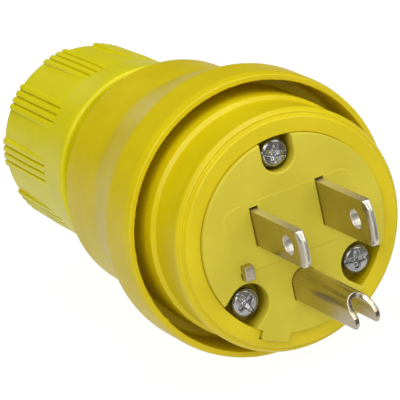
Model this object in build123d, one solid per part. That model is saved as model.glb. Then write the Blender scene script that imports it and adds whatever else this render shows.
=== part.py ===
from build123d import *
import math
import os

# Watertight straight-blade plug for a shore power cord, two pole with ground, 15 A.
# The plug's axis is Y. The blades point towards -Y, the cord leaves towards +Y and the ground pin
# is below the two blades. The origin is the centre of the flat insulating face that the blades
# stand on. All lengths are in millimetres and all angles in degrees.

# Contacts, in the standard straight-blade pattern
blade_spacing = 12.7
blade_thickness = 1.52
hot_blade_width = 6.35
neutral_blade_width = 7.94
blade_length = 17.1
blade_height = 3.5
blade_hole_radius = 1.7
blade_hole_depth = 12.0
blade_tip_bevel = 1.6
blade_tip_corner = 1.0
blade_bevel_share = 0.33
slot_notch_height = 0.35
slot_notch_depth = 3.0
ground_pin_length = 20.6
ground_pin_height = -8.5
ground_pin_radius = 2.41
ground_pin_wall = 0.95
ground_pin_skirt = 2.7
ground_pin_corner = 1.1
ground_pin_bevel_angle = 40.0

# Insulating face
face_radius = 17.0
face_thickness = 8.0
screw_circle_radius = 14.05
screw_angles = {"top": 90.0, "left": -140.0, "right": -40.0}
recess_radii = {"top": 3.0, "left": 3.7, "right": 3.7}
recess_depth = 3.2
pocket_depth = 4.8
screw_seat_radius = 2.6
screw_head_radius = 2.45
screw_head_height = 1.9
screw_head_edge = 0.25
screw_shank_radius = 1.45
screw_shank_length = 11.0
screw_slot_width = 0.7
screw_slot_depth = 0.9
screw_cross_width = 0.8
screw_cross_length = 3.0
key_angle = -114.0
key_width = 5.2
key_reach = 1.45
key_depth = 4.0
stub_x_range = (-11.0, -9.25)
stub_y_range = (-1.8, 2.9)
stub_z_range = (-4.45, -1.85)
stub_corner = 0.3

# Rubber boot
boot_length = 46.0
nose_start = 0.8
nose_radius = 20.45
nose_rim_radius = 19.75
nose_rim_edge = 0.7
rim_groove_radius = 19.95
rim_groove_depth = 1.1
bead_radius = 20.9
bead_lip_radius = 20.4
bead_lip_place = 0.9
bead_range = (1.8, 2.8)
bead_end = 3.6
nose_base_radius = 21.1
nose_step_range = (10.6, 11.3)
groove_floor = 22.0
groove_floor_radius = 23.26
shroud_start = 12.4
shroud_radius = 24.75
shroud_mouth_radius = 23.46
shroud_lip_radius = 24.45
shroud_lip_end = 14.0
shroud_end = 20.8
shoulder_rounding = 4.0
waist_start = 33.2
waist_radius = 21.05
waist_rounding = 8.0
boot_rear_radius = 20.75
boot_rear_rounding = 1.1

# Rigid sleeve inside the boot, with the collar that the nut screws on
sleeve_flange_radius = 16.9
sleeve_flange_end = 16.0
sleeve_flange_bore = 12.2
sleeve_radius = 15.4
sleeve_bore = 13.3
sleeve_bore_step = 0.5
barrel_end = 46.8
collar_radius = 15.0
collar_start = 47.6
collar_end = 66.0
collar_end_chamfer = (0.6, 0.8)
seat_start = 54.0
seat_end = 56.0
seat_bore = 8.6
insert_radius = 1.85
insert_length = 6.0

# Insulating block behind the face, and its wire guide
block_radius = 11.8
block_end = 31.0
chamber_start = 17.0
chamber_end = 27.6
chamber_half_width = 4.6
chamber_depth = 3.92
wire_hole_radius = 2.1
wire_hole_offset = 1.5
guide_thickness = 1.6

# Screw terminals on the inner ends of the contacts
contact_end = 27.0
terminal_place = 22.0
terminal_screw_radius = 1.40
terminal_head_radius = 2.5
terminal_head_height = 1.4
terminal_head_edge = 0.3
terminal_shank_below = 2.0
terminal_slot_width = 0.7
terminal_plate_thickness = 1.0
terminal_plate_length = 7.4
terminal_plate_width = 6.4
terminal_plate_corner = 0.8
terminal_grip_gap = 0.3
ground_strap_width = 6.4
ground_strap_start = 9.5
ground_pin_end = 11.5

# Cord clamp
clamp_start = 34.0
clamp_end = 44.0
clamp_radius = 11.4
clamp_channel = 6.6
clamp_tooth_height = 0.5
clamp_tooth_half_width = 0.6
clamp_tooth_root = 0.2
clamp_tooth_pitch = 2.0
clamp_gap = 0.8
clamp_screw_offset = 9.1
clamp_screw_radius = 1.25
clamp_head_radius = 2.1
clamp_head_height = 1.5
clamp_head_edge = 0.3
clamp_slot_width = 0.7
clamp_shelf_height = 3.4
clamp_shelf_half_width = 2.3
clamp_leg_radius = 1.5
clamp_leg_place = (5.6, -8.0)
clamp_leg_depth = 2.0

# Compression nut with its washer and grommet
nut_start = 52.7
nut_end = 81.75
nut_front_radius = 18.4
nut_front_chamfer = 0.7
nut_rib_start = 62.0
nut_crest_front = 17.45
nut_crest_rear = 17.1
nut_land_rear = 16.45
nut_rear_chamfer = 0.6
nut_bore = 15.35
nut_bore_end = 70.0
nut_bore_slope = 1.2
nut_throat = 13.8
nut_throat_end = 77.6
nut_mouth_radius = 8.3
nut_mouth_chamfer = 1.5
rib_groups = 10
ribs_in_group = 4
rib_pitch = 4.6
rib_width = 0.85
rib_root_depth = 1.0
rib_start_overlap = 2.0
rib_level_share = 0.35
rib_end_margin = 0.7
rib_end_chamfer = (0.5, 0.4)
first_group_angle = 136.0
washer_start = 76.3
washer_end = 77.3
washer_bore = 8.4
washer_radius = 13.4
grommet_start = 56.1
grommet_shoulder = 66.0
grommet_end = 76.0
grommet_radius = 13.0
grommet_tail_radius = 11.0
cord_bore_radius = 6.5

# Seal rings
face_ring_place = 5.8
face_ring_radius = 16.2
face_ring_section = 0.75
rear_ring_place = 42.5
rear_ring_radius = 14.8
rear_ring_section = 0.7

# Clearances
running_fit = 0.05
loose_fit = 0.15
seat_gap = 0.02
overlap = 0.5
far = 25.0


def turned(outline):
    """Turn a closed outline of (radius, y) points about the plug's axis."""
    return revolve(make_face(Polyline(*outline, close=True)), axis=Axis.Y)


def ring(inner, outer, start, end):
    """Plain ring about the plug's axis."""
    return turned([(inner, start), (outer, start), (outer, end), (inner, end)])


def rod(radius, start, end, x=0.0, z=0.0):
    """Round rod along Y, from one station to another."""
    middle = (start + end) / 2
    return Pos(x, middle, z) * Rot(90, 0, 0) * Cylinder(radius, end - start)


def bar(x_range, y_range, z_range):
    """Rectangular block between three pairs of limits."""
    size = [high - low for low, high in (x_range, y_range, z_range)]
    middle = [(high + low) / 2 for low, high in (x_range, y_range, z_range)]
    return Pos(*middle) * Box(*size)


def seal_ring(major_radius, section_radius, place):
    """Round-section ring about the plug's axis."""
    return Pos(0, place, 0) * Rot(90, 0, 0) * Torus(major_radius, section_radius)


def on_screw_circle(angle):
    """Place on the face's screw circle, as x and z."""
    turn = math.radians(angle)
    return screw_circle_radius * math.cos(turn), screw_circle_radius * math.sin(turn)


def edges_on_circle(part, radius, y):
    """The circular edges of a turned part that have this radius at this station."""
    def matches(edge):
        if edge.geom_type != GeomType.CIRCLE:
            return False
        return abs(edge.radius - radius) < 0.01 and abs(edge.arc_center.Y - y) < 0.01
    return part.edges().filter_by(matches)


def outer_boot():
    """Rubber boot: a nose round the face, a sealing shroud round the nose, and a waisted grip."""
    mouth = face_radius + running_fit
    grip = sleeve_radius + loose_fit
    outline = [
        (mouth, nose_start),
        (nose_rim_radius, nose_start),
        (rim_groove_radius, nose_start + rim_groove_depth),
        (bead_lip_radius, nose_start + bead_lip_place),
        (bead_radius, nose_start + bead_range[0]),
        (bead_radius, nose_start + bead_range[1]),
        (nose_radius, nose_start + bead_end),
        (nose_radius, nose_step_range[0]),
        (nose_base_radius, nose_step_range[1]),
        (nose_base_radius, groove_floor),
        (groove_floor_radius, groove_floor),
        (shroud_mouth_radius, shroud_start),
        (shroud_lip_radius, shroud_start),
        (shroud_radius, shroud_lip_end),
        (shroud_radius, shroud_end),
        (waist_radius, waist_start),
        (boot_rear_radius, boot_length),
        (grip, boot_length),
        (grip, sleeve_flange_end + loose_fit),
        (mouth, sleeve_flange_end + loose_fit),
    ]
    boot = turned(outline)
    boot = fillet(edges_on_circle(boot, nose_rim_radius, nose_start), nose_rim_edge)
    boot = fillet(edges_on_circle(boot, shroud_radius, shroud_end), shoulder_rounding)
    boot = fillet(edges_on_circle(boot, waist_radius, waist_start), waist_rounding)
    boot = fillet(edges_on_circle(boot, boot_rear_radius, boot_length), boot_rear_rounding)
    return boot - key_block(loose_fit)


def key_block(clearance):
    """Key at the face's edge, which sits in a notch of the boot."""
    half_width = key_width / 2 + clearance
    reach = (face_radius - overlap, face_radius + key_reach + clearance)
    depth = (0.0, key_depth + clearance)
    return Rot(0, -key_angle, 0) * bar(reach, depth, (-half_width, half_width))


def screw_recess(name):
    """Pocket for one assembly screw, open at the face's edge, with a raised seat under the head."""
    radius = recess_radii[name]
    pocket = rod(radius, 0.0, pocket_depth, x=screw_circle_radius)
    mouth = bar((screw_circle_radius, face_radius + overlap), (0.0, pocket_depth), (-radius, radius))
    seat = rod(screw_seat_radius, recess_depth, pocket_depth + overlap, x=screw_circle_radius)
    hole = rod(screw_shank_radius + loose_fit, 0.0, face_thickness, x=screw_circle_radius)
    return Rot(0, -screw_angles[name], 0) * (pocket + mouth - seat + hole)


def blade_slot(side, width):
    """Slot through the face and the block for one blade, with the open notch above the blade."""
    x_range = [side * blade_spacing / 2 - blade_thickness / 2 - running_fit,
               side * blade_spacing / 2 + blade_thickness / 2 + running_fit]
    top = blade_height + width / 2 + running_fit
    slot = bar(x_range, (0.0, contact_end + running_fit), (blade_height - width / 2 - running_fit, top))
    notch = bar(x_range, (0.0, slot_notch_depth), (top - overlap, top + slot_notch_height))
    return slot + notch


def ground_slot():
    """Opening through the face and the block for the folded ground pin."""
    radius = ground_pin_radius + running_fit
    low = ground_pin_height - ground_pin_skirt - running_fit
    end = ground_pin_end + loose_fit
    arch = rod(radius, 0.0, end, z=ground_pin_height)
    skirt = bar((-radius, radius), (0.0, end), (low, ground_pin_height))
    half_width = ground_strap_width / 2 + running_fit
    top = ground_pin_height + ground_pin_radius
    strap = bar((-half_width, half_width), (ground_strap_start - running_fit, contact_end + running_fit),
                (top - blade_thickness - running_fit, top + running_fit))
    return arch + skirt + strap


def front_face():
    """Flat insulating face with its three screw pockets, its key and the contact openings."""
    disc = ring(0.0, face_radius, 0.0, face_thickness)
    disc = disc + key_block(0.0)
    groove = ring(face_ring_radius - face_ring_section, face_radius + overlap,
                  face_ring_place - face_ring_section, face_ring_place + face_ring_section)
    disc = disc - groove
    for name in screw_angles:
        disc = disc - screw_recess(name)
    disc = disc - blade_slot(-1, hot_blade_width)
    disc = disc - blade_slot(1, neutral_blade_width)
    disc = disc - ground_slot()
    return disc - stub_slot()


def stub_slot():
    """Slot for the index stub, with the same open notch above it as the blades have."""
    x_range = (stub_x_range[0] - running_fit, stub_x_range[1] + running_fit)
    z_range = (stub_z_range[0] - running_fit, stub_z_range[1] + slot_notch_height)
    return bar(x_range, (0.0, slot_notch_depth), z_range)


def index_stub():
    """Short metal stub that stands in the face beside the left blade."""
    stub = bar(stub_x_range, stub_y_range, stub_z_range)
    front_corners = stub.edges().filter_by(Axis.X).group_by(Axis.Y)[0]
    return chamfer(front_corners, stub_corner)


def flat_blade(side, width):
    """One flat contact: a drilled blade with a bevelled tip, and its straight terminal strap."""
    x = side * blade_spacing / 2
    x_range = (x - blade_thickness / 2, x + blade_thickness / 2)
    z_range = (blade_height - width / 2, blade_height + width / 2)
    blade = bar(x_range, (-blade_length, contact_end), z_range)
    tip_edges = blade.edges().filter_by(Axis.Z).group_by(Axis.Y)[0]
    blade = chamfer(tip_edges, blade_tip_bevel, blade_thickness * blade_bevel_share)
    corner_edges = blade.edges().filter_by(Axis.X).group_by(Axis.Y)[0]
    blade = chamfer(corner_edges, blade_tip_corner)
    hole = Pos(x, -blade_hole_depth, blade_height) * Rot(0, 90, 0)
    blade = blade - hole * Cylinder(blade_hole_radius, 2 * blade_thickness)
    tapped = Pos(x, terminal_place, blade_height) * Rot(0, 90, 0)
    return blade - tapped * Cylinder(terminal_screw_radius + running_fit, 2 * blade_thickness)


def ground_pin():
    """Folded ground pin, open along its underside, with its flat terminal strap."""
    low = ground_pin_height - ground_pin_skirt
    y_range = (-ground_pin_length, ground_pin_end)
    inner = ground_pin_radius - ground_pin_wall
    pin = rod(ground_pin_radius, *y_range, z=ground_pin_height)
    pin = pin + bar((-ground_pin_radius, ground_pin_radius), y_range, (low, ground_pin_height))
    pin = pin - rod(inner, -ground_pin_length, y_range[1], z=ground_pin_height)
    pin = pin - bar((-inner, inner), y_range, (low - overlap, ground_pin_height))
    bevel_size = 2 * ground_pin_radius
    top = ground_pin_height + ground_pin_radius
    bevel = Rot(ground_pin_bevel_angle, 0, 0) * Box(bevel_size * 2, bevel_size, bevel_size)
    pin = pin - Pos(0, -ground_pin_length, top) * bevel
    half_width = ground_strap_width / 2
    strap = bar((-half_width, half_width), (ground_strap_start, contact_end), (top - blade_thickness, top))
    tapped = Pos(0, terminal_place, top) * Cylinder(terminal_screw_radius + running_fit, 4 * blade_thickness)
    lower_corners = pin.edges().filter_by(Axis.X).group_by(Axis.Y)[0].group_by(Axis.Z)[0]
    pin = chamfer(lower_corners, ground_pin_corner)
    return pin + strap - tapped


def terminal_frame(name):
    """Places a terminal drawn about the Z axis, with its strap's outer face at Z zero."""
    if name == "ground":
        return Pos(0, terminal_place, ground_pin_height + ground_pin_radius - blade_thickness) * Rot(180, 0, 0)
    side = -1 if name == "hot" else 1
    x = side * (blade_spacing + blade_thickness) / 2
    return Pos(x, terminal_place, blade_height) * Rot(0, side * 90, 0)


def terminal_plate(name):
    """Clamp plate of one terminal, which the screw draws down onto the wire."""
    half_width = terminal_plate_width / 2
    half_length = terminal_plate_length / 2
    low = terminal_grip_gap
    high = low + terminal_plate_thickness
    plate = bar((-half_width, half_width), (-half_length, half_length), (low, high))
    plate = fillet(plate.edges().filter_by(Axis.Z), terminal_plate_corner)
    plate = plate - Cylinder(terminal_screw_radius + running_fit, 4 * high)
    return terminal_frame(name) * plate


def terminal_screw(name):
    """Terminal screw, with a slotted round head that bears on the clamp plate."""
    seat = terminal_grip_gap + terminal_plate_thickness + seat_gap
    shank_end = -blade_thickness - terminal_shank_below
    head = Pos(0, 0, seat + terminal_head_height / 2) * Cylinder(terminal_head_radius, terminal_head_height)
    head = chamfer(head.edges().filter_by(GeomType.CIRCLE).group_by(Axis.Z)[-1], terminal_head_edge)
    shank = Pos(0, 0, (seat + shank_end) / 2) * Cylinder(terminal_screw_radius, seat - shank_end)
    slot = Box(far, terminal_slot_width, terminal_head_height)
    slot = Pos(0, 0, seat + terminal_head_height) * slot
    return terminal_frame(name) * (head + shank - slot)


def terminal_block():
    """Insulating block behind the face, with an open chamber round each terminal."""
    block = ring(0.0, block_radius, face_thickness, block_end)
    block = block - blade_slot(-1, hot_blade_width)
    block = block - blade_slot(1, neutral_blade_width)
    block = block - ground_slot()
    low = -chamber_depth
    chamber_span = (chamber_start - terminal_place, chamber_end - terminal_place)
    half_width = chamber_half_width
    chamber = bar((-half_width, half_width), chamber_span, (low, 2 * block_radius))
    wire_span = (chamber_span[1] - overlap, block_end - terminal_place + overlap)
    wire_hole = rod(wire_hole_radius, *wire_span, z=wire_hole_offset)
    for name in ("hot", "neutral", "ground"):
        block = block - terminal_frame(name) * (chamber + wire_hole)
    for x in (-clamp_leg_place[0], clamp_leg_place[0]):
        socket = rod(clamp_leg_radius + running_fit, block_end - clamp_leg_depth, block_end,
                     x=x, z=clamp_leg_place[1])
        block = block - socket
    return block


def wire_guide():
    """Thin disc behind the block that leads each wire to its terminal."""
    start = block_end + 2 * running_fit
    disc = ring(0.0, block_radius, start, start + guide_thickness)
    wire_hole = rod(wire_hole_radius, start - terminal_place - overlap,
                    start - terminal_place + guide_thickness + overlap, z=wire_hole_offset)
    for name in ("hot", "neutral", "ground"):
        disc = disc - terminal_frame(name) * wire_hole
    for x in (-clamp_leg_place[0], clamp_leg_place[0]):
        disc = disc - rod(clamp_leg_radius + loose_fit, start, start + guide_thickness,
                          x=x, z=clamp_leg_place[1])
    return disc


def assembly_screw(name):
    """Screw through the face into the sleeve, with a cross-slotted cheese head."""
    head_top = recess_depth - screw_head_height
    head = rod(screw_head_radius, head_top, recess_depth, x=screw_circle_radius)
    head = chamfer(head.edges().filter_by(GeomType.CIRCLE).group_by(Axis.Y)[0], screw_head_edge)
    shank_end = recess_depth + screw_shank_length
    shank = rod(screw_shank_radius, recess_depth, shank_end, x=screw_circle_radius)
    slot = Box(4 * screw_head_radius, 2 * screw_slot_depth, screw_slot_width)
    cross = Box(screw_cross_width, 2 * screw_slot_depth, screw_cross_length)
    recess = Pos(screw_circle_radius, head_top, 0) * (slot + cross)
    return Rot(0, -screw_angles[name], 0) * (head + shank - recess)


def threaded_inserts():
    """Three brass inserts moulded in the sleeve's flange, one for each assembly screw."""
    start = face_thickness + loose_fit
    inserts = []
    for angle in screw_angles.values():
        x, z = on_screw_circle(angle)
        body = rod(insert_radius, start, start + insert_length, x=x, z=z)
        inserts.append(body - rod(screw_shank_radius + running_fit, start, start + insert_length, x=x, z=z))
    return Compound(children=inserts)


def inner_sleeve():
    """Rigid sleeve: a front flange for the screws, a barrel, and the collar for the nut."""
    start = face_thickness + loose_fit
    outline = [
        (sleeve_flange_bore, start),
        (sleeve_flange_radius, start),
        (sleeve_flange_radius, sleeve_flange_end),
        (sleeve_radius, sleeve_flange_end),
        (sleeve_radius, barrel_end),
        (collar_radius, collar_start),
        (collar_radius, collar_end - collar_end_chamfer[1]),
        (collar_radius - collar_end_chamfer[0], collar_end),
        (sleeve_bore, collar_end),
        (sleeve_bore, seat_end),
        (seat_bore, seat_end),
        (seat_bore, seat_start),
        (sleeve_bore, seat_start),
        (sleeve_bore, sleeve_flange_end + sleeve_bore_step),
        (sleeve_flange_bore, sleeve_flange_end - sleeve_bore_step),
    ]
    sleeve = turned(outline)
    sleeve = sleeve - ring(rear_ring_radius - rear_ring_section, sleeve_radius + overlap,
                           rear_ring_place - rear_ring_section, rear_ring_place + rear_ring_section)
    for angle in screw_angles.values():
        x, z = on_screw_circle(angle)
        sleeve = sleeve - rod(insert_radius + running_fit, start, start + insert_length, x=x, z=z)
        sleeve = sleeve - rod(screw_shank_radius + running_fit, start, sleeve_flange_end, x=x, z=z)
    return sleeve


def clamp_jaw():
    """Upper half of the cord clamp, drawn above Z zero, with screw shelves and gripping teeth."""
    upper = bar((-far, far), (clamp_start, clamp_end), (clamp_gap, far))
    jaw = ring(clamp_channel, clamp_radius, clamp_start, clamp_end)
    tip = clamp_channel - clamp_tooth_height
    root = clamp_channel + clamp_tooth_root
    tooth_count = int((clamp_end - clamp_start) / clamp_tooth_pitch) - 1
    for step in range(1, tooth_count + 1):
        y = clamp_start + step * clamp_tooth_pitch
        jaw = jaw + turned([(tip, y), (root, y - clamp_tooth_half_width), (root, y + clamp_tooth_half_width)])
    jaw = jaw & upper
    for side in (-1, 1):
        x = side * clamp_screw_offset
        shelf_range = (x - clamp_shelf_half_width, x + clamp_shelf_half_width)
        jaw = jaw - bar(shelf_range, (clamp_start, clamp_end), (clamp_shelf_height, far))
    return jaw


def clamp_screw_places():
    """Places of the two clamp screws, left then right."""
    middle = (clamp_start + clamp_end) / 2
    return [(-clamp_screw_offset, middle), (clamp_screw_offset, middle)]


def cord_clamp_upper():
    """Movable jaw of the cord clamp."""
    jaw = clamp_jaw()
    for x, y in clamp_screw_places():
        jaw = jaw - Pos(x, y, 0) * Cylinder(clamp_screw_radius + running_fit, 2 * far)
    return jaw


def cord_clamp_lower():
    """Fixed jaw of the cord clamp, on two legs that sit in the terminal block."""
    jaw = Rot(0, 180, 0) * clamp_jaw()
    for x, y in clamp_screw_places():
        jaw = jaw - Pos(x, y, 0) * Cylinder(clamp_screw_radius + running_fit, 2 * far)
        leg_x = math.copysign(clamp_leg_place[0], x)
        leg_start = block_end - clamp_leg_depth
        jaw = jaw + rod(clamp_leg_radius, leg_start, clamp_start + overlap, x=leg_x, z=clamp_leg_place[1])
    return jaw


def cord_clamp_screw(x, y):
    """Screw that draws the two jaws together."""
    seat = clamp_shelf_height + seat_gap
    head = Pos(x, y, seat + clamp_head_height / 2) * Cylinder(clamp_head_radius, clamp_head_height)
    head = chamfer(head.edges().filter_by(GeomType.CIRCLE).group_by(Axis.Z)[-1], clamp_head_edge)
    slot = Pos(x, y, seat + clamp_head_height) * Box(far, clamp_slot_width, clamp_head_height)
    shank = Pos(x, y, (seat - clamp_radius / 2) / 2) * Cylinder(clamp_screw_radius, seat + clamp_radius / 2)
    return head + shank - slot


def nut_rib(angle):
    """One grip rib, level with the nut's collar at the front and proud of the land at the rear."""
    end = nut_end - rib_end_margin
    root = nut_land_rear - rib_root_depth
    level_end = nut_rib_start + rib_level_share * (end - nut_rib_start)
    drop, reach = rib_end_chamfer
    side = [
        (root, nut_rib_start - rib_start_overlap),
        (nut_crest_front, nut_rib_start - rib_start_overlap),
        (nut_crest_front, level_end),
        (nut_crest_rear, end),
        (nut_crest_rear - drop, end + reach),
        (root, end + reach),
    ]
    rib = extrude(make_face(Polyline(*side, close=True)), rib_width / 2, both=True)
    return Rot(0, -angle, 0) * rib


def rib_angles():
    """Angles of the ribs, group by group."""
    angles = []
    for group in range(rib_groups):
        centre = first_group_angle + group * 360.0 / rib_groups
        for step in range(ribs_in_group):
            angles.append(centre + (step - (ribs_in_group - 1) / 2) * rib_pitch)
    return angles


def compression_nut():
    """Rear nut: a smooth front collar, groups of grip ribs, and a bore that clears the collar."""
    outline = [
        (nut_bore, nut_start),
        (nut_front_radius - nut_front_chamfer, nut_start),
        (nut_front_radius, nut_start + nut_front_chamfer),
        (nut_crest_front, nut_rib_start),
        (nut_land_rear, nut_end - nut_rear_chamfer),
        (nut_land_rear - nut_rear_chamfer, nut_end),
        (nut_mouth_radius + nut_mouth_chamfer, nut_end),
        (nut_mouth_radius, nut_end - nut_mouth_chamfer),
        (nut_mouth_radius, nut_throat_end),
        (nut_throat, nut_throat_end),
        (nut_throat, nut_bore_end + nut_bore_slope),
        (nut_bore, nut_bore_end),
    ]
    nut = turned(outline)
    outside = ring(nut_bore + overlap, far, nut_start, nut_end)
    for angle in rib_angles():
        nut = nut + (nut_rib(angle) & outside)
    return nut


def slip_washer():
    """Washer that the nut turns against, so that the grommet isn't twisted."""
    return ring(washer_bore, washer_radius, washer_start, washer_end)


def cord_grommet():
    """Rubber grommet that the nut squeezes onto the cord."""
    outline = [
        (cord_bore_radius, grommet_start),
        (grommet_radius, grommet_start),
        (grommet_radius, grommet_shoulder),
        (grommet_tail_radius, grommet_end),
        (cord_bore_radius, grommet_end),
    ]
    return turned(outline)


def all_nodes():
    """Every separate piece, by its node's name."""
    nodes = {
        "outer_boot": outer_boot(),
        "front_face": front_face(),
        "terminal_block": terminal_block(),
        "wire_guide": wire_guide(),
        "inner_sleeve": inner_sleeve(),
        "threaded_inserts": threaded_inserts(),
        "blade_hot": flat_blade(-1, hot_blade_width),
        "blade_neutral": flat_blade(1, neutral_blade_width),
        "ground_pin": ground_pin(),
        "index_stub": index_stub(),
        "face_seal_ring": seal_ring(face_ring_radius, face_ring_section, face_ring_place),
        "rear_seal_ring": seal_ring(rear_ring_radius, rear_ring_section, rear_ring_place),
        "cord_clamp_lower": cord_clamp_lower(),
        "cord_clamp_upper": cord_clamp_upper(),
        "compression_nut": compression_nut(),
        "slip_washer": slip_washer(),
        "cord_grommet": cord_grommet(),
    }
    for name in screw_angles:
        nodes["assembly_screw_" + name] = assembly_screw(name)
    for name in ("hot", "neutral", "ground"):
        nodes["terminal_plate_" + name] = terminal_plate(name)
        nodes["terminal_screw_" + name] = terminal_screw(name)
    for side, (x, y) in zip(("left", "right"), clamp_screw_places()):
        nodes["cord_clamp_screw_" + side] = cord_clamp_screw(x, y)
    return nodes


os.makedirs("parts", exist_ok=True)
for node_name, node_shape in all_nodes().items():
    export_step(node_shape, "parts/" + node_name + ".step")
    print(node_name, round(node_shape.volume, 1))
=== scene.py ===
import math

import bmesh
import bpy
from mathutils import Matrix, Vector, noise
from mathutils.geometry import delaunay_2d_cdt


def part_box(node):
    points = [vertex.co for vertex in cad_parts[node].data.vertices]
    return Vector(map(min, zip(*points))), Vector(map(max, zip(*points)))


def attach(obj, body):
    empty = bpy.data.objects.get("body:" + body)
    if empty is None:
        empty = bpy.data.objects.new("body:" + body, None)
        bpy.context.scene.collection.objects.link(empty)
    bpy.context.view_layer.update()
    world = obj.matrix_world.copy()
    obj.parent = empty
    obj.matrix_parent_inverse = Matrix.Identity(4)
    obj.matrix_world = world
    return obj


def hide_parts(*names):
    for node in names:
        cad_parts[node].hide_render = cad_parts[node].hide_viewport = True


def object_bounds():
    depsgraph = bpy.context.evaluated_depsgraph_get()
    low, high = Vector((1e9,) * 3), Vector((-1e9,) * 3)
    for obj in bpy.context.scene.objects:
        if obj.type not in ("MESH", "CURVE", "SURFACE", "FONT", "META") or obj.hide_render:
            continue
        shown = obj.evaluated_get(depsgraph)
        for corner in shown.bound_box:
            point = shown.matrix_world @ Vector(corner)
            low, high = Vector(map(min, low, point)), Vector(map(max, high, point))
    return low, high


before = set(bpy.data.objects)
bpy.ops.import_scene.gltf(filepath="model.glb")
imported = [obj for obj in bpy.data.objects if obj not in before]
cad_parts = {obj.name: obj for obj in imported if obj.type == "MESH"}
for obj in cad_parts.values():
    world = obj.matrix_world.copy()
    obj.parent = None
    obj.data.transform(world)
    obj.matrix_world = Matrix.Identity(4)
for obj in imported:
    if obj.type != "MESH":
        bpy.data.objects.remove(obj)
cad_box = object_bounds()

MM = 0.001
X, Y, Z = 0, 1, 2

# Camera, from the photograph's viewing angle
camera_place = (-0.2325, -0.5113, 0.2116)
camera_aim = (-0.00129, 0.03311, -0.00140)
camera_roll = -12.58
camera_lens = 327.06
camera_sensor = 36.0

# Studio: how bright the world and the floor are as light, and how bright the camera sees them
world_light, world_seen = 0.05, 0.92
floor_light, floor_seen = 0.76, 0.95
floor_shade = 0.10
floor_half_size = 3.0
floor_gap = 0.00005
flag_low, flag_high = (0.0, -0.40), (0.40, -0.035)
flag_gap = 0.0005
flag_shade = 0.10

# Studio lights: place, size and power, all aimed at the plug's middle
light_target = (0.0, 0.03, 0.0)
studio_lights = {
    "key_left": ((-0.55, -0.50, 0.75), (0.7, 0.7), 6.0),
    "key_right": ((0.75, -0.60, 0.60), (0.7, 0.7), 4.0),
    "key_top": ((0.10, -0.10, 1.00), (0.7, 0.7), 5.0),
    "key_front": ((-0.15, -1.00, 0.30), (0.5, 0.5), 1.6),
    "low_back": ((0.15, 1.10, 0.13), (0.20, 0.08), 0.16),
}

# Surface grain: noise scales, and bump heights in metres
mottling_scale, flow_scale, stain_scale, line_scale, pit_scale = 140.0, 420.0, 260.0, 900.0, 2600.0
texture_low, texture_high = 0.35, 0.65
grain_height, flow_height, scratch_height = 0.00004, 0.00006, 0.00003
flow_strength, pit_strength = 0.08, 0.04
# Paler tint of the blades' sheared edges: partly their own rougher finish, partly a painted highlight for
# the light that they catch from above
sheared_edge_tint_and_highlight = (0.78, 0.74, 0.64)
# Painted shade in the face's recesses: from the first depth behind the face plane to the second, the face
# darkens to its painted shade colour
pocket_shade_start, pocket_shade_full = 0.2 * MM, 2.2 * MM

# Mouldings: colour, shade, roughness, grain's scale and strength, specular level, painted shade colour that
# the face takes behind its front plane, in the screw pockets
moulded_finishes = {
    "boot_rubber": ((0.73, 0.58, 0.002), (0.68, 0.53, 0.001), 0.40, 5200.0, 0.30, 0.33),
    "nut_nylon": ((0.80, 0.72, 0.001), (0.75, 0.67, 0.001), 0.38, 6400.0, 0.22, 0.35),
    # The face's last colour is painted shade for the inside of its pockets and slots
    "face_nylon": ((0.66, 0.56, 0.045), (0.62, 0.52, 0.039), 0.55, 7000.0, 0.25, 0.2, (0.40, 0.31, 0.006)),
    "sleeve_nylon": ((0.60, 0.56, 0.01), (0.54, 0.50, 0.008), 0.42, 6000.0, 0.20),
    "block_nylon": ((0.72, 0.70, 0.62), (0.65, 0.63, 0.55), 0.50, 6000.0, 0.25),
    "washer_nylon": ((0.78, 0.76, 0.70), (0.70, 0.68, 0.62), 0.45, 6000.0, 0.20),
    "seal_rubber": ((0.022, 0.022, 0.023), (0.015, 0.015, 0.016), 0.62, 4200.0, 0.45),
}

# Metals: colour, shade, roughness, stretch of the drawn lines, their strength, roughness of sheared edges
# (which also gives them a paler tint that is partly a painted highlight)
drawn, turned = (1.0, 0.06, 1.0), (1.0, 1.0, 1.0)
metal_finishes = {
    "plated_brass": ((0.52, 0.46, 0.35), (0.48, 0.42, 0.30), 0.26, drawn, 0.01),
    "blade_brass": ((0.50, 0.44, 0.33), (0.46, 0.40, 0.28), 0.22, drawn, 0.02, 0.42),
    "insert_brass": ((0.72, 0.53, 0.22), (0.60, 0.42, 0.15), 0.32, drawn, 0.06),
    "zinc_steel": ((0.58, 0.58, 0.57), (0.38, 0.38, 0.38), 0.20, turned, 0.10),
    "green_steel": ((0.07, 0.30, 0.11), (0.04, 0.22, 0.07), 0.34, turned, 0.10),
}

# Rubber boot
nose_start = 0.8
nose_rim_radius = 19.75
rim_back, rim_back_radius = 1.75, 19.97
bead_foot, bead_foot_radius = 1.6, 20.35
bead_front, bead_back = 2.5, 3.6
nose_front, nose_back = 4.4, 10.6
nose_flare = 11.3
nose_radius = 20.45
nose_base_radius = 21.1
bead_radius = 20.9
groove_floor, groove_floor_radius = 22.0, 23.26
shroud_start, shroud_lip_end = 12.4, 14.0
shroud_mouth_radius = 23.46
shroud_lip_radius = 24.45
shroud_end = 20.8
waist_start = 33.2
waist_radius = 21.05
boot_rear_radius = 20.75
boot_bore = 15.55
boot_step = 16.15
boot_columns = 432
flash_length, flash_reach = 0.35, 0.3
flash_scale, flash_threshold, flash_height = 26.0, 0.22, 0.35
flash_patch_scale, flash_patch_threshold, flash_patch_height = 9.0, 0.25, 0.9
flash_patch_shift = Vector((4.0, 2.0, 7.0))
flash_forward_share, flash_inward_share = 0.6, 0.5
key_angle = -114.0
key_half_width = 2.6
key_radius = 18.45
key_corner = 0.3
key_depth = 4.0
fit = 0.05
loose_fit = 0.15

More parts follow.
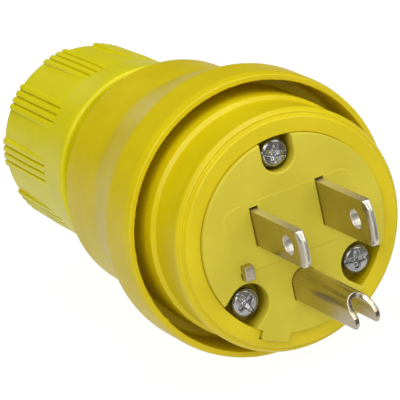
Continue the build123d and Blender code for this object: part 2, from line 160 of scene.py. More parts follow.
# Insulating face
pocket_circle = 14.05
pocket_radii = {"top": 3.0, "left": 3.7, "right": 3.7}
pocket_angles = {"top": 90.0, "left": -140.0, "right": -40.0}
pocket_depth = 4.8
seat_depth = 3.2
seat_radius = 2.6
notch_height = 0.35
pocket_edge, pocket_edge_drop = 0.34, 0.30
rim_edge, slot_edge = 0.22, 0.10
rim_zone = 15.0
panel_half_width = 12.4
panel_low = -3.6
panel_high = 8.0
panel_corner = 2.6
panel_height = 0.09
panel_edge = 0.28
panel_gap = 0.17

# Contacts
stub_corner, stub_edge = 0.16, 0.15
stub_shear, stub_shear_length = 0.40, 0.6
blade_edge = 0.13
blade_tip_edge = 0.25
blade_hole_radius = 1.7
blade_hole_place = -12.0
tapped_hole_radius = 1.45
tapped_hole_place = 22.0
tip_bevel_length = 1.5
tip_bevel_depth = 0.5
pin_axis_height = -8.5
pin_radius = 2.41
pin_wall = 0.95
pin_skirt = 2.7
pin_strap_half_width = 3.2
pin_strap_corner = 0.4
pin_strap_start = 9.5
pin_strap_thickness = 1.52
pin_tube_end = 11.5
pin_tip_slope = 40.0
pin_tip_corner = 1.25
pin_wall_end = 0.2
pin_rim = [0.0, 0.015, 0.05, 0.10, 0.17]
pin_rim_narrowing = 0.66

# Screws in the face
screw_head_height = 1.9
screw_shank_radius = 1.45
screw_turns = {"top": 20.0, "left": 62.0, "right": 8.0}
cross_reach, cross_ramp, cross_length = 1.62, 0.28, 1.6
cross_depth, cross_end_depth = 1.25, 0.60
cross_half_width, cross_end_half_width = 0.56, 0.36
cross_middle_radius, cross_middle_depth = 0.95, 1.15
screw_slot_half_width, screw_slot_depth = 0.36, 0.50
screw_dome = 0.16
screw_corner = 0.55
screw_thread_pitch, screw_thread_depth = 0.8, 0.22

# Collar and nut
thread_pitch = 3.0
thread_spacing, nut_thread_spacing = 0.2, 0.25
collar_root = 14.2
collar_crest = 15.0
thread_start = 47.8
sleeve_flange_radius = 16.9
sleeve_flange_bore = 12.2
sleeve_flange_end = 16.0
sleeve_radius = 15.4
sleeve_bore = 13.3
seat_bore = 8.6
seat_start = 54.0
seat_end = 56.0
nut_front_radius = 18.4
nut_rib_start = 62.0
nut_plain_stations = [55.5, 58.5, 61.2, 61.8]
nut_rib_stations = [61.95, 62.1, 62.25, 62.4, 62.6, 63.5, 66.0, 69.0, 72.0, 75.0, 78.0, 80.0,
                    80.5, 80.75, 81.0, 81.15]
nut_crest_front = 17.45
nut_crest_rear = 17.1
nut_land_rear = 16.45
nut_bore = 15.35
nut_bore_end = 70.0
nut_throat = 13.8
nut_throat_end = 77.6
nut_mouth_radius = 8.3
end_ring_outer, end_ring_inner, end_ring_depth = 13.2, 10.3, 0.35
rib_groups = 10
ribs_in_group = 4
rib_pitch = 4.6
rib_half_width = 0.50
rib_groove_depth = 0.62
rib_columns = [-2.3, -2.1, -1.95, -1.8, -1.65, -1.5, -1.2, -0.6, 0.0, 0.6, 1.2, 1.5, 1.65, 1.8, 1.95, 2.1]
land_columns = 10
rib_flank, rib_rounding = 0.17, 0.06
rib_mean_radius = 17.0
rib_run_in, rib_run_out = 0.35, 0.5
first_group_angle = 136.0
washer_bore, washer_edge = 8.4, 0.2
grommet_bore, grommet_shoulder = 6.6, 9.9
grommet_ring_pitch, grommet_ring_height = 1.8, 0.22


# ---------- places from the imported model

def span(node, axis):
    """Lowest and highest coordinate of a CAD node along one axis, in millimetres."""
    low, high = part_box(node)
    return low[axis] / MM, high[axis] / MM


def middle(node, axis):
    """Middle of a CAD node along one axis, in millimetres."""
    low, high = span(node, axis)
    return (low + high) / 2


def half_size(node, axis):
    """Half of a CAD node's size along one axis, in millimetres."""
    low, high = span(node, axis)
    return (high - low) / 2


# ---------- shape helpers

def smooth_step(value):
    """Smooth rise from 0 to 1 as the value goes from 0 to 1."""
    value = min(1.0, max(0.0, value))
    return value * value * (3 - 2 * value)


def blend_between(start, end, share):
    """Value at a share of the way from start to end."""
    return start + (end - start) * min(1.0, max(0.0, share))


def rounded(outline, steps=5):
    """Round the corners of a closed outline, given as rows of u, v and corner radius."""
    result = []
    count = len(outline)
    for index, (u, v, radius) in enumerate(outline):
        corner = Vector((u, v))
        back = Vector(outline[index - 1][:2]) - corner
        ahead = Vector(outline[(index + 1) % count][:2]) - corner
        opening = back.angle(ahead)
        turn = math.pi - opening
        if radius <= 0 or turn < 0.02:
            result.append((u, v))
            continue
        cut = min(radius / math.tan(opening / 2), 0.48 * back.length, 0.48 * ahead.length)
        arc_radius = cut * math.tan(opening / 2)
        inwards = (back.normalized() + ahead.normalized()).normalized()
        centre = corner + inwards * (arc_radius / math.sin(opening / 2))
        first = corner + back.normalized() * cut - centre
        last = corner + ahead.normalized() * cut - centre
        for step in range(steps + 1):
            share = step / steps
            arm = first * math.sin((1 - share) * turn) + last * math.sin(share * turn)
            point = centre + arm / math.sin(turn)
            result.append((point.x, point.y))
    return result


def rectangle(low_u, high_u, low_v, high_v, corner):
    """Anticlockwise outline of a rectangle, as rows for rounded()."""
    places = [(low_u, low_v), (high_u, low_v), (high_u, high_v), (low_u, high_v)]
    return [(u, v, corner) for u, v in places]


def spaced(start, end, spacing):
    """Evenly spaced values from start to end, about a spacing apart."""
    count = int(abs(end - start) / spacing)
    return [start + (end - start) * index / count for index in range(count + 1)]


def circle_points(radius, centre=(0.0, 0.0), count=48, clockwise=False):
    """Points of a circle, anticlockwise unless asked otherwise."""
    sign = -1 if clockwise else 1
    points = []
    for index in range(count):
        angle = sign * math.tau * index / count
        points.append((centre[0] + radius * math.cos(angle), centre[1] + radius * math.sin(angle)))
    return points


def ring_faces(rings, size, start=0, count=None, closed=False):
    """Faces between each ring of points and the next, or only part of each ring from a start."""
    count = count or size
    faces = []
    for ring in range(rings if closed else rings - 1):
        here = ring * size + start
        there = (ring + 1) % rings * size + start
        for index in range(count):
            following = (index + 1) % count
            faces.append((here + index, here + following, there + following, there + index))
    return faces


def turned_grid(profile, angles, shape=None):
    """Points and faces of a closed profile of (radius, y) turned about Y, one ring for each angle."""
    points = []
    for angle in angles:
        turn = math.radians(angle)
        for radius, y in profile:
            if shape:
                radius, y = shape(radius, y, angle)
            points.append((radius * math.cos(turn), y, radius * math.sin(turn)))
    return points, ring_faces(len(angles), len(profile), closed=True)


def even_angles(count):
    """Evenly spaced angles round the full circle, in degrees."""
    return [360.0 * index / count for index in range(count)]


def inward_normals(loop):
    """For each point of a closed loop, the unit-wide offset towards its left side."""
    normals = []
    count = len(loop)
    for index in range(count):
        here = Vector(loop[index])
        before = (here - Vector(loop[index - 1])).normalized()
        after = (Vector(loop[(index + 1) % count]) - here).normalized()
        left_before = Vector((-before.y, before.x))
        left_after = Vector((-after.y, after.x))
        normals.append((left_before + left_after) / max(0.4, 1 + left_before.dot(left_after)))
    return normals


def inside_loops(u, v, loops):
    """True if a point is inside the area that the loops bound."""
    inside = False
    for loop in loops:
        for index in range(len(loop)):
            u1, v1 = loop[index - 1]
            u2, v2 = loop[index]
            if (v1 > v) != (v2 > v) and u < (u2 - u1) * (v - v1) / (v2 - v1) + u1:
                inside = not inside
    return inside


def filled(loops):
    """Triangles that fill the area between closed loops, as indices into the loops' points in order."""
    points = [Vector(p) for loop in loops for p in loop]
    edges = []
    start = 0
    for loop in loops:
        count = len(loop)
        edges += [(start + i, start + (i + 1) % count) for i in range(count)]
        start += count
    made = delaunay_2d_cdt(points, edges, [], 0, 1e-7)
    new_points, triangles, sources = made[0], made[2], made[3]
    result = []
    for triangle in triangles:
        centre = sum((new_points[i] for i in triangle), Vector((0, 0))) / 3
        if inside_loops(centre.x, centre.y, loops):
            result.append(tuple(sources[i][0] for i in triangle))
    return result


def soft_edge(width):
    """Edge rule for a slab: the same small rounding all the way round."""
    def rule(point, normal):
        return normal * width, width
    return rule


def slab(loops, low, high, edge, steps=4):
    """Closed plate between two levels, with rounded edges. Material is on the left of every loop."""
    normals = [inward_normals(loop) for loop in loops]
    quarter = [math.pi / 2 * step / steps for step in range(steps + 1)]
    rings = [(turn, high, -1) for turn in reversed(quarter)] + [(turn, low, 1) for turn in quarter]
    points = []
    for turn, level, sign in rings:
        for loop, loop_normals in zip(loops, normals):
            for point, normal in zip(loop, loop_normals):
                inset, drop = edge(point, normal)
                moved = Vector(point) + inset * (1 - math.cos(turn))
                points.append((moved.x, moved.y, level + sign * drop * (1 - math.sin(turn))))
    size = sum(len(loop) for loop in loops)
    faces = []
    start = 0
    end_loops = []
    for loop in loops:
        faces += ring_faces(len(rings), size, start, len(loop))
        end_loops.append([point[:2] for point in points[start:start + len(loop)]])
        start += len(loop)
    triangles = filled(end_loops)
    for offset in (0, (len(rings) - 1) * size):
        faces += [tuple(offset + i for i in triangle) for triangle in triangles]
    return points, faces


def joined(*meshes):
    """Several sets of points and faces as one."""
    points = []
    faces = []
    for some_points, some_faces in meshes:
        start = len(points)
        points += some_points
        faces += [tuple(start + i for i in face) for face in some_faces]
    return points, faces


def in_face_plane(mesh):
    """Stand a slab drawn in (x, z, level) on the plug's axis, as (x, y, z)."""
    points, faces = mesh
    return [(u, w, v) for u, v, w in points], faces


def across(mesh):
    """Stand a slab drawn in (y, z, level) across the plug, as (x, y, z)."""
    points, faces = mesh
    return [(w, u, v) for u, v, w in points], faces


def moved(mesh, x, z, turn=0.0):
    """Turn a mesh about the Y axis and move it to a place in x and z."""
    points, faces = mesh
    spin = Matrix.Rotation(math.radians(turn), 3, "Y")
    result = []
    for point in points:
        spun = spin @ Vector(point)
        result.append((spun.x + x, spun.y, spun.z + z))
    return result, faces


def new_object(name, data):
    """New object, put into the scene."""
    thing = bpy.data.objects.new(name, data)
    bpy.context.scene.collection.objects.link(thing)
    return thing


def make_piece(name, mesh_data, material, body, nodes=(), crease=40.0):
    """Make one piece from points in millimetres, shade it, and tie it to its body and CAD nodes."""
    points, faces = mesh_data
    mesh = bpy.data.meshes.new(name)
    mesh.from_pydata([Vector(p) * MM for p in points], [], faces)
    work = bmesh.new()
    work.from_mesh(mesh)
    bmesh.ops.remove_doubles(work, verts=work.verts, dist=1e-7)
    bmesh.ops.dissolve_degenerate(work, edges=work.edges, dist=1e-8)
    bmesh.ops.recalc_face_normals(work, faces=work.faces)
    work.to_mesh(mesh)
    work.free()
    mesh.polygons.foreach_set("use_smooth", [True] * len(mesh.polygons))
    mesh.set_sharp_from_angle(angle=math.radians(crease))
    mesh.materials.append(material)
    piece = new_object(name, mesh)
    weighted = piece.modifiers.new("weighted_normals", "WEIGHTED_NORMAL")
    weighted.keep_sharp = True
    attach(piece, body)
    if nodes:
        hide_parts(*nodes)


# ---------- materials

def new_material(name):
    """Empty node material with its shader, ready for more nodes."""
    material = bpy.data.materials.new(name)
    material.use_nodes = True
    tree = material.node_tree
    shader = tree.nodes["Principled BSDF"]
    return material, tree, shader


def new_node(tree, kind):
    """New shader node of one kind."""
    return tree.nodes.new("ShaderNode" + kind)


def map_node(tree, source, from_low, from_high, to_low=0.0, to_high=1.0):
    """Bring one output from a range of its own to another range."""
    node = new_node(tree, "MapRange")
    ends = {"From Min": from_low, "From Max": from_high, "To Min": to_low, "To Max": to_high}
    for name, value in ends.items():
        node.inputs[name].default_value = value
    tree.links.new(source, node.inputs["Value"])
    return node.outputs["Result"]


def camera_or_light(tree, as_light, as_seen):
    """One value for the rays that light the scene, and another for what the camera sees."""
    return map_node(tree, new_node(tree, "LightPath").outputs["Is Camera Ray"], 0.0, 1.0, as_light, as_seen)


def mix_colours(tree, share, first, second):
    """Blend from a linked colour to a fixed one by a linked share."""
    mix = new_node(tree, "Mix")
    mix.data_type = "RGBA"
    mix.inputs["B"].default_value = (*second, 1.0)
    tree.links.new(share, mix.inputs["Factor"])
    tree.links.new(first, mix.inputs["A"])
    return mix.outputs["Result"]


def object_axis(tree, what, axis):
    """One axis of the object's own coordinates or normal."""
    parts = new_node(tree, "SeparateXYZ")
    tree.links.new(new_node(tree, "TexCoord").outputs[what], parts.inputs["Vector"])
    return parts.outputs[axis]


def noise_node(tree, scale, detail, stretch=(1.0, 1.0, 1.0)):
    """Noise in the object's own space, as a grain that can be stretched along an axis."""
    place = new_node(tree, "TexCoord")
    mapping = new_node(tree, "Mapping")
    mapping.inputs["Scale"].default_value = stretch
    texture = new_node(tree, "TexNoise")
    texture.inputs["Scale"].default_value = scale
    texture.inputs["Detail"].default_value = detail
    tree.links.new(place.outputs["Object"], mapping.inputs["Vector"])
    tree.links.new(mapping.outputs["Vector"], texture.inputs["Vector"])
    return texture.outputs["Fac"]


def ramp_node(tree, source, stops):
    """Colour ramp fed by one output. Its two stops are rows of position and colour."""
    ramp = new_node(tree, "ValToRGB")
    for element, (position, colour) in zip(ramp.color_ramp.elements, stops):
        element.position = position
        element.color = (*colour, 1.0)
    tree.links.new(source, ramp.inputs["Fac"])
    return ramp.outputs["Color"]


def spread(tree, texture, middle_value, down, up):
    """Value that a texture's middle range varies about by a little."""
    return map_node(tree, texture, texture_low, texture_high, middle_value - down, middle_value + up)


def add_bumps(tree, shader, layers):
    """Chain of bump nodes. Layers are rows of height output, strength and distance in metres."""
    normal = None
    for height, strength, distance in layers:
        bump = new_node(tree, "Bump")
        bump.inputs["Strength"].default_value = strength
        bump.inputs["Distance"].default_value = distance
        tree.links.new(height, bump.inputs["Height"])
        if normal is not None:
            tree.links.new(normal, bump.inputs["Normal"])
        normal = bump.outputs["Normal"]
    tree.links.new(normal, shader.inputs["Normal"])


def moulded(name, colour, shade, roughness, grain, grain_strength, specular=0.5, pocket_shade=None):
    """Moulded rubber or plastic: mottled colour, fine grain and faint flow marks.
    With a painted shade colour, the parts behind the face plane darken towards that colour: painted shade,
    as in a screw pocket."""
    material, tree, shader = new_material(name)
    mottling = noise_node(tree, mottling_scale, 4.0)
    result = ramp_node(tree, mottling, [(0.32, shade), (0.68, colour)])
    # Painted shade: the colour darkens towards the shade colour with depth behind the face plane, standing
    # in for shadow in the pockets
    if pocket_shade:
        depth = map_node(tree, object_axis(tree, "Object", "Y"), pocket_shade_start, pocket_shade_full)
        result = mix_colours(tree, depth, result, pocket_shade)
    tree.links.new(result, shader.inputs["Base Color"])
    fine = noise_node(tree, grain, 3.0)
    flow = noise_node(tree, flow_scale, 2.0, (1.0, 0.25, 1.0))
    tree.links.new(spread(tree, flow, roughness, 0.03, 0.03), shader.inputs["Roughness"])
    add_bumps(tree, shader, [(fine, grain_strength, grain_height),
                             (flow, flow_strength, flow_height)])
    shader.inputs["Specular IOR Level"].default_value = specular
    return material


def metal(name, colour, shade, roughness, stretch, scratch_strength, edge_roughness=None):
    """Plated metal: slightly uneven tint, drawn lines and small pits, and rougher sheared edges in a paler
    tint that is partly their own finish and partly a painted highlight.
    """
    material, tree, shader = new_material(name)
    stain = noise_node(tree, stain_scale, 4.0)
    tint = ramp_node(tree, stain, [(0.35, shade), (0.62, colour)])
    lines = noise_node(tree, line_scale, 3.0, stretch)
    pits = noise_node(tree, pit_scale, 2.0)
    result = spread(tree, lines, roughness, 0.02, 0.03)
    if edge_roughness:
        size = new_node(tree, "Math")
        size.operation = "ABSOLUTE"
        tree.links.new(object_axis(tree, "Normal", "X"), size.inputs[0])
        share = map_node(tree, size.outputs["Value"], 0.95, 0.5)
        mix = new_node(tree, "Mix")
        mix.inputs["B"].default_value = edge_roughness
        tree.links.new(share, mix.inputs["Factor"])
        tree.links.new(result, mix.inputs["A"])
        result = mix.outputs["Result"]
        # Paler sheared edges: partly their own finish, partly a painted highlight
        tint = mix_colours(tree, share, tint, sheared_edge_tint_and_highlight)
    tree.links.new(tint, shader.inputs["Base Color"])
    tree.links.new(result, shader.inputs["Roughness"])
    add_bumps(tree, shader, [(lines, scratch_strength, scratch_height),
                             (pits, pit_strength, scratch_height)])
    shader.inputs["Metallic"].default_value = 1.0
    return material


def all_materials():
    """Every material, by the record's slot."""
    materials = {name: moulded(name, *values) for name, values in moulded_finishes.items()}
    materials.update({name: metal(name, *values) for name, values in metal_finishes.items()})
    return materials


# ---------- boot

def boot_profile():
    """Closed profile of the boot as rows of radius, y and corner radius, with its corners rounded."""
    length = span("outer_boot", Y)[1]
    shroud_radius = half_size("outer_boot", X)
    mouth = measured["mouth"]
    notch_floor = key_depth + loose_fit
    outline = [
        (mouth, nose_start, 0.12),
        (nose_rim_radius, nose_start, 0.45),
        (rim_back_radius, rim_back, 0.30),
        (bead_foot_radius, bead_foot, 0.25),
        (bead_radius, bead_front, 0.40),
        (bead_radius, bead_back, 0.40),
        (nose_radius, nose_front, 0.60),
        (nose_radius, nose_back, 0.30),
        (nose_base_radius, nose_flare, 0.35),
        (nose_base_radius, groove_floor, 0.60),
        (groove_floor_radius, groove_floor, 0.60),
        (shroud_mouth_radius, shroud_start, 0.18),
        (shroud_lip_radius, shroud_start, 0.25),
        (shroud_radius, shroud_lip_end, 0.80),
        (shroud_radius, shroud_end, 4.0),
        (waist_radius, waist_start, 8.0),
        (boot_rear_radius, length, 1.1),
        (boot_bore, length, 0.3),
        (boot_bore, boot_step, 0.0),
        (mouth, boot_step, 0.0),
        (mouth, notch_floor + 0.05, 0.0),
        (mouth, notch_floor, 0.0),
    ]
    return rounded(outline, 6)


def boot_shape(radius, y, angle):
    """Key notch in the mouth, and the small moulding flash along the shroud's lips."""
    away = math.radians((angle - key_angle + 180) % 360 - 180)
    in_notch = abs(away) * measured["mouth"] < key_half_width + fit
    if in_notch and y < key_depth + loose_fit + 0.02 and radius < key_radius + loose_fit:
        radius = key_radius + loose_fit
    if abs(y - shroud_start) < flash_length and radius > shroud_mouth_radius - flash_reach:
        turn = math.radians(angle)
        place = Vector((math.cos(turn), math.sin(turn), 0.0))
        fine = max(0.0, noise.noise(place * flash_scale))
        rare = max(0.0, noise.noise(place * flash_patch_scale + flash_patch_shift) - flash_patch_threshold)
        flash = max(0.0, fine - flash_threshold) * flash_height + fine * rare * flash_patch_height
        y -= flash * flash_forward_share
        if radius < shroud_mouth_radius + flash_reach:
            radius -= flash * flash_inward_share
    return radius, y


def boot_angles():
    """Angles of the boot's columns, with close pairs at the two walls of the key notch."""
    angles = even_angles(boot_columns)
    half_angle = math.degrees((key_half_width + fit) / measured["mouth"])
    for side in (-1, 1):
        wall = (key_angle + side * half_angle) % 360
        angles = [angle for angle in angles if abs(angle - wall) > 0.35]
        angles += [wall - 0.03, wall + 0.03]
    return sorted(angles)


# ---------- insulating face

def local_to_face(radial, tangential, angle):
    """Point given along and across one direction from the centre, as x and z."""
    turn = math.radians(angle)
    return (radial * math.cos(turn) - tangential * math.sin(turn),
            radial * math.sin(turn) + tangential * math.cos(turn))


def pocket_path(angle, radius, disc_radius):
    """Path round one screw pocket, from the disc's edge inwards and out again."""
    edge = math.sqrt(disc_radius ** 2 - radius ** 2)
    lead = (edge - pocket_circle) * 0.5
    local = [(edge, -radius), (pocket_circle + lead, -radius)]
    for step in range(25):
        turn = math.pi * step / 24
        local.append((pocket_circle - radius * math.sin(turn), -radius * math.cos(turn)))
    local += [(pocket_circle + lead, radius), (edge, radius)]
    return [local_to_face(radial, across_it, angle) for radial, across_it in local]


def key_path(disc_radius):
    """Path round the key tab that stands out from the disc's edge."""
    edge = math.sqrt(disc_radius ** 2 - key_half_width ** 2)
    outline = [(edge, -key_half_width), (key_radius - key_corner, -key_half_width),
               (key_radius, -key_half_width + key_corner), (key_radius, key_half_width - key_corner),
               (key_radius - key_corner, key_half_width), (edge, key_half_width)]
    return [local_to_face(radial, across_it, key_angle) for radial, across_it in outline]


def face_outline(disc_radius):
    """Anticlockwise outline of the face with its three open pockets and its key."""
    features = []
    for name, angle in pocket_angles.items():
        half_angle = math.degrees(math.asin(pocket_radii[name] / disc_radius))
        features.append((angle % 360, half_angle, pocket_path(angle, pocket_radii[name], disc_radius)))
    half_angle = math.degrees(math.asin(key_half_width / disc_radius))
    features.append((key_angle % 360, half_angle, key_path(disc_radius)))
    features.sort()
    outline = []
    for index, (angle, half_angle, path) in enumerate(features):
        outline += path
        following, following_half = features[(index + 1) % len(features)][:2]
        start = angle + half_angle
        gap = (following - following_half - start) % 360
        steps = max(2, int(gap / 2.0))
        for step in range(1, steps):
            outline.append(local_to_face(disc_radius, 0.0, start + gap * step / steps))
    return outline


def slot_hole(node, top_extra):
    """Clockwise outline of one blade's slot, with the small notch above the blade."""
    low_x, high_x = span(node, X)
    low_z, high_z = span(node, Z)
    outline = [(low_x - fit, low_z - fit), (low_x - fit, high_z + fit + top_extra),
               (high_x + fit, high_z + fit + top_extra), (high_x + fit, low_z - fit)]
    return divided(outline, 0.6)


def divided(outline, longest):
    """Add points along the sides of a closed outline, so that no side is longer than asked."""
    result = []
    for index, point in enumerate(outline):
        start = Vector(point)
        end = Vector(outline[(index + 1) % len(outline)])
        steps = max(1, math.ceil((end - start).length / longest))
        for step in range(steps):
            between = start.lerp(end, step / steps)
            result.append((between.x, between.y))
    return result


def pin_hole():
    """Clockwise outline of the ground pin's opening."""
    radius = pin_radius + fit
    low = pin_axis_height - pin_skirt - fit
    outline = [(-radius, low)]
    for step in range(25):
        turn = math.pi * (1 - step / 24)
        outline.append((radius * math.cos(turn), pin_axis_height + radius * math.sin(turn)))
    outline.append((radius, low))
    return outline


def face_mesh():
    """Face plate with open pockets, on a thicker round base with the screws' clearance holes."""
    disc_radius = span("front_face", X)[1]
    thickness = span("front_face", Y)[1]
    holes = [slot_hole("blade_hot", notch_height), slot_hole("blade_neutral", notch_height),
             slot_hole("index_stub", notch_height), pin_hole()]
    plate = slab([face_outline(disc_radius)] + holes, 0.0, pocket_depth + 0.1, face_edge)
    base_loops = [circle_points(disc_radius - 0.02, count=144)]
    seats = []
    for angle in pocket_angles.values():
        x, z = local_to_face(pocket_circle, 0.0, angle)
        base_loops.append(circle_points(screw_shank_radius + loose_fit, (x, z), 32, True))
        seats.append(moved(seat_mesh(), x, z))
    base_loops += [slot_hole("blade_hot", 0.0), slot_hole("blade_neutral", 0.0), pin_hole()]
    base = slab(base_loops, pocket_depth, thickness, soft_edge(0.02), 1)
    return joined(in_face_plane(joined(plate, base)), *seats)


def seat_mesh():
    """Raised ring at the bottom of a pocket, on which one screw's head sits."""
    bore = screw_shank_radius + loose_fit
    outline = [(bore, seat_depth, 0.05), (seat_radius, seat_depth, 0.15),
               (seat_radius, pocket_depth + 0.05, 0.02), (bore, pocket_depth + 0.05, 0.02)]
    return turned_grid(rounded(outline, 2), even_angles(48))


def face_edge(point, normal):
    """Rounding of the face's edges: wider round the pockets than at the rim and the slots."""
    for name, angle in pocket_angles.items():
        x, z = local_to_face(pocket_circle, 0.0, angle)
        if math.hypot(point[0] - x, point[1] - z) < pocket_radii[name] + fit:
            return normal * pocket_edge, pocket_edge_drop
    width = rim_edge if math.hypot(*point) > rim_zone else slot_edge
    return normal * width, width


def panel_mesh():
    """Faint raised panel round the two blades, cut away where their slots are."""
    gap = panel_gap
    outline = [(-panel_half_width, panel_low, panel_corner), (panel_half_width, panel_low, panel_corner),
               (panel_half_width, panel_high, panel_corner)]
    for node in ("blade_neutral", "blade_hot"):
        low_x, high_x = span(node, X)
        bottom = span(node, Z)[0] - gap
        outline += [(high_x + gap, panel_high, 0.0), (high_x + gap, bottom, 0.0),
                    (low_x - gap, bottom, 0.0), (low_x - gap, panel_high, 0.0)]
    outline.append((-panel_half_width, panel_high, panel_corner))

    def edge(point, normal):
        return normal * panel_edge, panel_height * 0.95
    return in_face_plane(slab([rounded(outline, 10)], -panel_height, panel_height, edge, 3))


def stub_mesh():
    """Short metal stub that stands in the face, with an uneven sheared end."""
    low_x, high_x = span("index_stub", X)
    low_z, high_z = span("index_stub", Z)
    low_y, high_y = span("index_stub", Y)
    outline = rounded(rectangle(low_x, high_x, low_z, high_z, stub_corner), 3)
    points, faces = in_face_plane(slab([divided(outline, 0.3)], low_y, high_y, soft_edge(stub_edge)))
    sheared = []
    for x, y, z in points:
        share = smooth_step((low_y + stub_shear_length - y) / stub_shear_length)
        y += share * stub_shear * (high_z - z) / (high_z - low_z)
        sheared.append((x, y, z))
    return sheared, faces


# ---------- contacts

def blade_mesh(node):
    """Flat contact with a drilled hole, small rounded edges and a long rounded bevel at its tip."""
    low_y, high_y = span(node, Y)
    low_z, high_z = span(node, Z)
    low_x, high_x = span(node, X)
    centre = (low_z + high_z) / 2
    outline = [
        (high_y, low_z, 0.3),
        (high_y, high_z, 0.3),
        (low_y + 1.35, high_z, 0.7),
        (low_y + 0.28, high_z - 1.5, 1.8),
        (low_y, centre - 0.2, 5.0),
        (low_y + 0.22, low_z + 1.1, 1.5),
        (low_y + 1.0, low_z, 0.6),
    ]
    outer = divided(rounded(outline, 6), 1.5)
    hole = circle_points(blade_hole_radius, (blade_hole_place, centre), 40, True)
    tapped = circle_points(tapped_hole_radius, (tapped_hole_place, centre), 32, True)
    bevel_start = low_y + 1.7

    def edge(point, normal):
        share = smooth_step((bevel_start - point[0]) / 1.0)
        width = blend_between(blade_edge, blade_tip_edge, share)
        inset = normal * width + Vector((tip_bevel_length * share, 0.0))
        return inset, blend_between(blade_edge, tip_bevel_depth, share)
    return across(slab([outer, hole, tapped], low_x, high_x, edge, 5))


def pin_tip(height):
    """Where the ground pin ends at a given height, cut back along the top of its arch."""
    tip = span("ground_pin", Y)[0]
    below_top = height - (pin_axis_height + pin_radius)
    slope = math.radians(pin_tip_slope)
    cut_low = (below_top * math.cos(slope) + pin_radius) / math.sin(slope)
    cut_high = (pin_radius - below_top * math.sin(slope)) / math.cos(slope)
    cut = max(0.0, min(cut_low, cut_high))
    above_skirt = height - (pin_axis_height - pin_skirt)
    corner = pin_tip_corner
    if above_skirt < corner:
        cut = max(cut, corner - math.sqrt(max(0.0, corner ** 2 - (corner - above_skirt) ** 2)))
    return tip + cut


def pin_section():
    """Middle line of the pin's folded wall from the left leg over the arch, with its outward normals."""
    middle_radius = pin_radius - pin_wall / 2
    low = pin_axis_height - pin_skirt + pin_wall_end
    leg_steps = 10
    arch_steps = 36
    heights = [blend_between(low, pin_axis_height, step / leg_steps) for step in range(leg_steps)]
    line = [((-middle_radius, height), (-1.0, 0.0)) for height in heights]
    for step in range(arch_steps + 1):
        turn = math.pi * (1 - step / arch_steps)
        normal = (math.cos(turn), math.sin(turn))
        place = (middle_radius * normal[0], pin_axis_height + middle_radius * normal[1])
        line.append((place, normal))
    line += [((middle_radius, height), (1.0, 0.0)) for height in reversed(heights)]
    return line


def pin_mesh():
    """Folded ground pin, open below, with a rounded rim at its tip, and its flat terminal strap."""
    line = pin_section()
    half_wall = pin_wall / 2
    edge_steps = 4
    section = [(place, normal, 1.0, 0.0) for place, normal in line]
    for side in (1, -1):
        place, normal = line[-1] if side == 1 else line[0]
        for step in range(1, edge_steps):
            turn = math.pi * step / edge_steps
            section.append((place, normal, side * math.cos(turn), math.sin(turn)))
        if side == 1:
            section += [(place, normal, -1.0, 0.0) for place, normal in reversed(line)]
    rings = len(pin_rim)
    points = []
    for depth in pin_rim + [None]:
        share = 1.0
        if depth is not None:
            share = math.sqrt(max(0.0, 1 - (1 - depth / pin_rim[-1]) ** 2))
        wall = half_wall * blend_between(pin_rim_narrowing, 1.0, share)
        for place, normal, outward, down in section:
            y = pin_tube_end if depth is None else pin_tip(place[1]) + depth
            x = place[0] + normal[0] * wall * outward
            z = place[1] + normal[1] * wall * outward - down * pin_wall_end
            points.append((x, y, z))
    size = len(section)
    faces = ring_faces(rings + 1, size)
    count = len(line)
    inner_start = count + edge_steps - 1
    for offset in (0, rings * size):
        for index in range(count - 1):
            inner = inner_start + count - 1 - index
            faces.append((offset + index, offset + index + 1, offset + inner - 1, offset + inner))
        faces.append(tuple(offset + i for i in range(count - 1, inner_start + 1)))
        faces.append(tuple(offset + i % size for i in range(inner_start + count - 1, size + 1)))
    return joined((points, faces), pin_strap())


def pin_strap():
    """Flat strap behind the pin, with the tapped hole for its terminal screw."""
    top = pin_axis_height + pin_radius
    strap_end = span("ground_pin", Y)[1]
    outline = rectangle(-pin_strap_half_width, pin_strap_half_width, pin_strap_start, strap_end,
                        pin_strap_corner)
    hole = circle_points(tapped_hole_radius, (0.0, tapped_hole_place), 32, True)
    return slab([rounded(outline, 3), hole], top - pin_strap_thickness, top, soft_edge(blade_edge))


# ---------- face screws

def recess_depth(x, z):
    """Depth of a screw head's cross recess and slot at a point of the head."""
    depth = 0.0
    for along, aside in ((x, z), (z, x)):
        share = abs(along) / cross_length
        reach = smooth_step((cross_reach - abs(along)) / cross_ramp)
        taper = blend_between(cross_depth, cross_end_depth, share)
        half_width = blend_between(cross_half_width, cross_end_half_width, share)
        wall = smooth_step((half_width + 0.09 - abs(aside)) / 0.16)
        depth = max(depth, reach * wall * taper)
    centre = smooth_step((cross_middle_radius - math.hypot(x, z)) / 0.30) * cross_middle_depth
    slot = smooth_step((screw_slot_half_width - abs(z)) / 0.12) * screw_slot_depth
    return max(depth, centre, slot)


